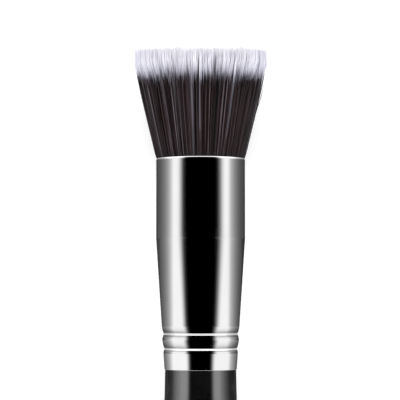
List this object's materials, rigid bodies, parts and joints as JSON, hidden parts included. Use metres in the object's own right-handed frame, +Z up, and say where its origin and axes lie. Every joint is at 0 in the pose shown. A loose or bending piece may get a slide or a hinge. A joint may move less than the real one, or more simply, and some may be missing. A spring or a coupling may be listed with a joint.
{
  "type": "stippling brush",
  "caption": "Stippling brush lying down: black turned handle, bright crimped ferrule, flared flat-topped head of dark fibres with white tips.",
  "frame": {"origin": "on the surface it lies on, below the middle of the brush", "axes": "+Y along the brush on the surface, towards the fibre head; +Z up from the surface"},
  "size_m": [0.0296, 0.1653, 0.0298],
  "materials": {
    "handle": "gloss black lacquer over turned wood",
    "ferrule": "mirror bright, drawn and polished",
    "dark_fibres": "soft synthetic fibres, brown-black, slight sheen",
    "white_fibres": "soft synthetic fibres, cool white, slight sheen",
    "root_glue": "set epoxy, honey coloured",
    "tenon_glue": "set glue, pale amber"
  },
  "bodies": {
    "root": {"handle": "handle", "ferrule": "ferrule", "dark_fibres": "dark_fibres", "white_fibres": "white_fibres", "root_glue": "root_glue", "tenon_glue": "tenon_glue"}
  },
  "joints": []
}
